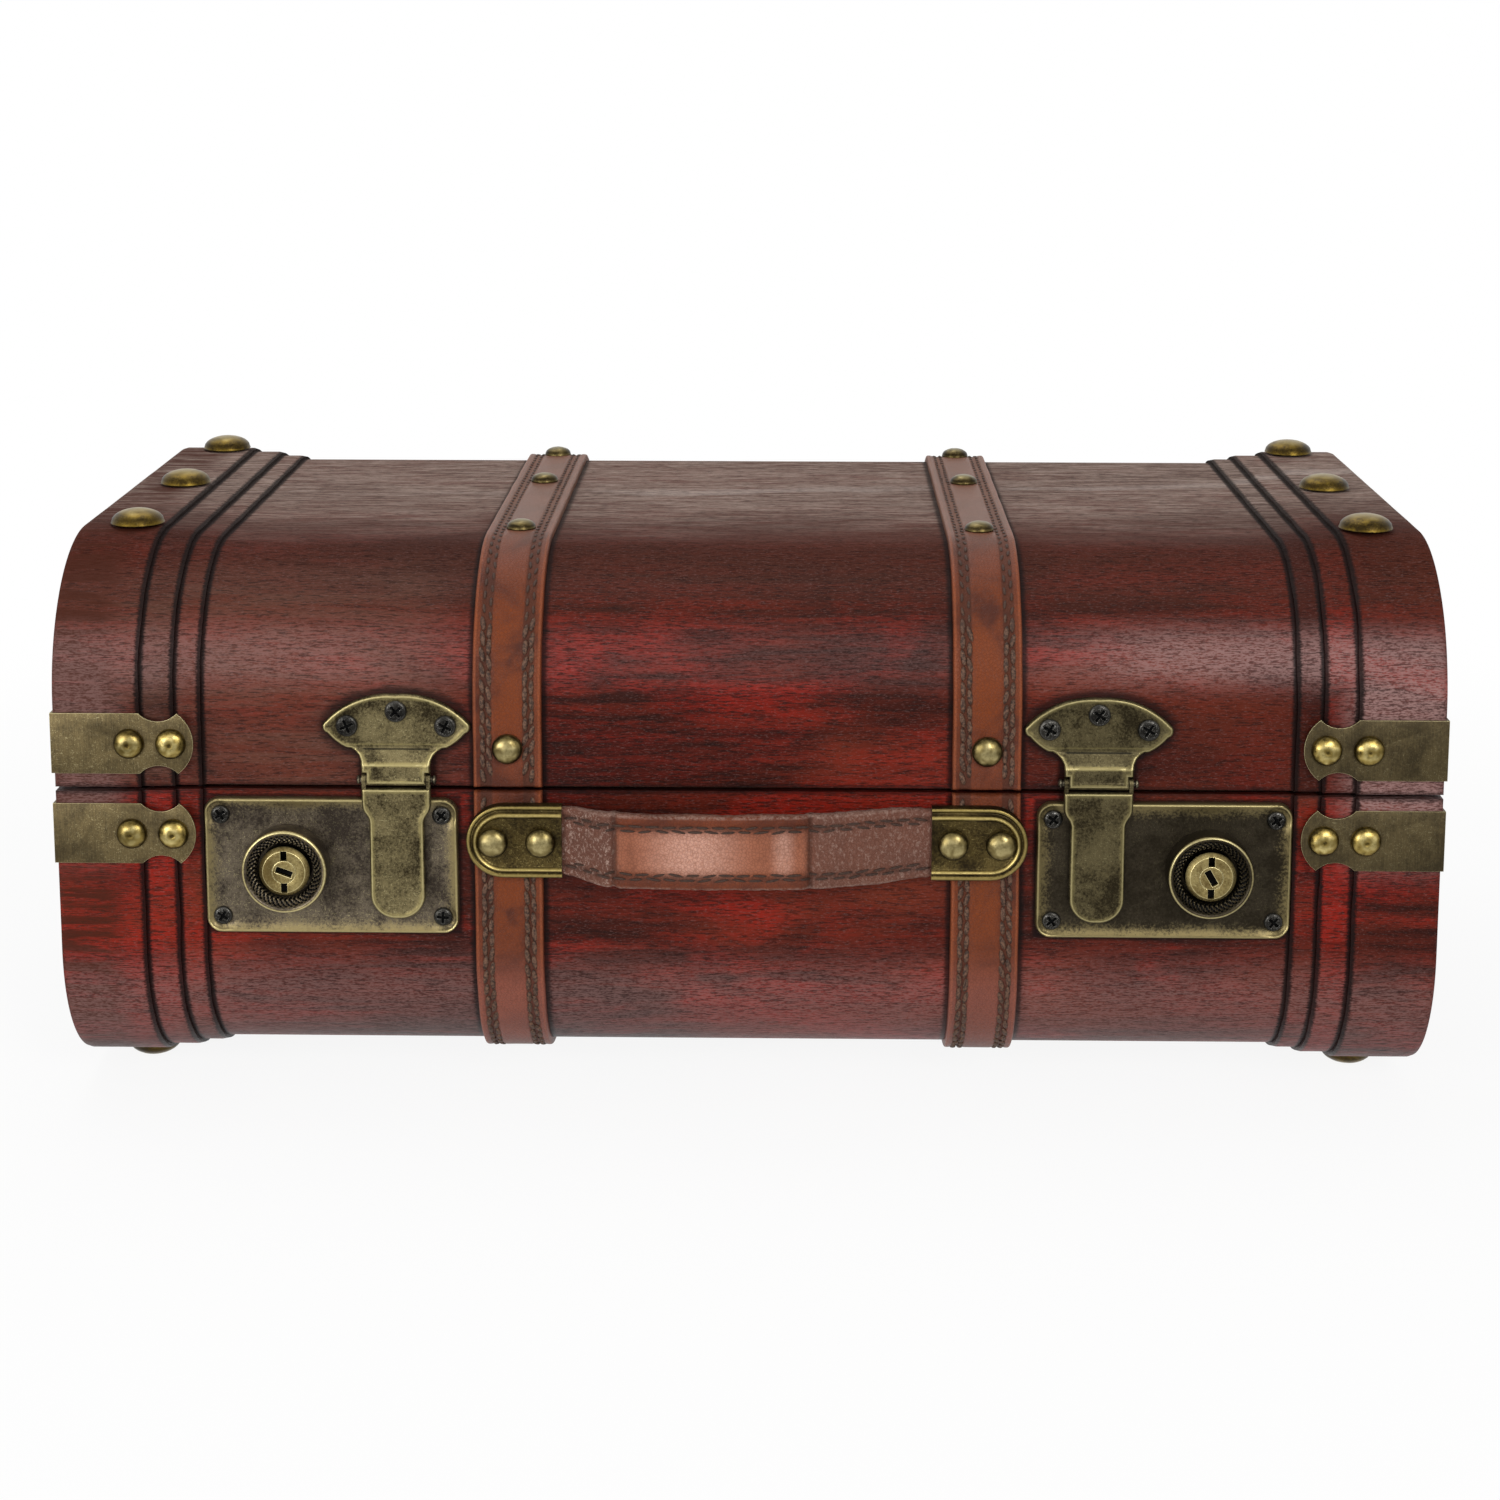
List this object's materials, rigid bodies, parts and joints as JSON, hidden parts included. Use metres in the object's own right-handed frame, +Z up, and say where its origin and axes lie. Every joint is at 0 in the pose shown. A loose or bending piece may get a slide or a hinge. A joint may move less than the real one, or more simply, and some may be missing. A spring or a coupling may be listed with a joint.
{
  "type": "wooden travelling chest",
  "caption": "Low wooden suitcase-style chest lying flat: rounded lid and base, stepped end bands, leather straps and handle, two locks with hasps and rear hinges.",
  "frame": {"origin": "bottom centre of the whole part, on the plane that the flats of the feet touch", "axes": "+Z up, +X to the right along the length, -Y towards the front with the locks and handle"},
  "size_m": [0.4576, 0.266, 0.193],
  "materials": {
    "board": "satin, dark red stain with brown wear",
    "band": "satin, dark red stain, blackened edges",
    "leather": "worn, reddish brown with dark stitches",
    "aged_brass": "antiqued, bright on worn edges",
    "nail_brass": "antiqued, polished crowns",
    "black_screw": "blackened",
    "case_steel": "plain sheet",
    "lining": "plain cloth on card"
  },
  "bodies": {
    "base": {"base_corner_nails": "nail_brass", "base_corner_plates": "aged_brass", "base_end_board_left": "board", "base_end_board_right": "board", "base_feet": "aged_brass", "base_hinge_leaves": "aged_brass", "base_hinge_screws": "black_screw", "base_inner_band_left": "band", "base_inner_band_right": "band", "base_lining": "lining", "base_middle_band_left": "band", "base_middle_band_right": "band", "base_outer_band_left": "band", "base_outer_band_right": "band", "base_skin": "board", "base_strap_left": "leather", "base_strap_right": "leather", "handle_band": "leather", "handle_cap_left": "aged_brass", "handle_cap_right": "aged_brass", "handle_rivets": "nail_brass", "hinge_pins": "aged_brass", "lock_case_left": "case_steel", "lock_case_right": "case_steel", "lock_plate_left": "aged_brass", "lock_plate_right": "aged_brass", "lock_screws": "black_screw"},
    "lid": {"hasp_bracket_left": "aged_brass", "hasp_bracket_right": "aged_brass", "hasp_pins": "aged_brass", "hasp_screws": "black_screw", "lid_corner_nails": "nail_brass", "lid_corner_plates": "aged_brass", "lid_dome_nails": "aged_brass", "lid_end_board_left": "board", "lid_end_board_right": "board", "lid_hinge_leaves": "aged_brass", "lid_hinge_screws": "black_screw", "lid_inner_band_left": "band", "lid_inner_band_right": "band", "lid_lining": "lining", "lid_middle_band_left": "band", "lid_middle_band_right": "band", "lid_outer_band_left": "band", "lid_outer_band_right": "band", "lid_skin": "board", "lid_strap_left": "leather", "lid_strap_nails": "nail_brass", "lid_strap_right": "leather"},
    "tongue_left": {"hasp_tongue_left": "aged_brass"},
    "knob_left": {"knob_ring_left": "aged_brass", "lock_cylinder_left": "aged_brass"},
    "plug_left": {"key_plug_left": "aged_brass"},
    "tongue_right": {"hasp_tongue_right": "aged_brass"},
    "knob_right": {"knob_ring_right": "aged_brass", "lock_cylinder_right": "aged_brass"},
    "plug_right": {"key_plug_right": "aged_brass"}
  },
  "joints": [
    {"name": "lid_hinge", "type": "hinge", "parent": "base", "child": "lid", "pos_m": [0, 0.12718, 0.1095], "axis": [-1, 0, 0], "range_deg": [0, 100]},
    {"name": "hasp_left", "type": "hinge", "parent": "lid", "child": "tongue_left", "pos_m": [-0.1139, -0.11912, 0.1129], "axis": [-1, 0, 0], "range_deg": [0, 95]},
    {"name": "knob_slide_left", "type": "slide", "parent": "base", "child": "knob_left", "axis": [-1, 0, 0], "range_m": [0, 0.004], "stiffness_N_per_m": 300},
    {"name": "key_turn_left", "type": "hinge", "parent": "knob_left", "child": "plug_left", "pos_m": [-0.1503, -0.12133, 0.0833], "axis": [0, -1, 0], "range_deg": [0, 90]},
    {"name": "hasp_right", "type": "hinge", "parent": "lid", "child": "tongue_right", "pos_m": [0.1139, -0.11912, 0.1129], "axis": [-1, 0, 0], "range_deg": [0, 95]},
    {"name": "knob_slide_right", "type": "slide", "parent": "base", "child": "knob_right", "axis": [1, 0, 0], "range_m": [0, 0.004], "stiffness_N_per_m": 300},
    {"name": "key_turn_right", "type": "hinge", "parent": "knob_right", "child": "plug_right", "pos_m": [0.1503, -0.12133, 0.0833], "axis": [0, -1, 0], "range_deg": [0, 90]}
  ]
}
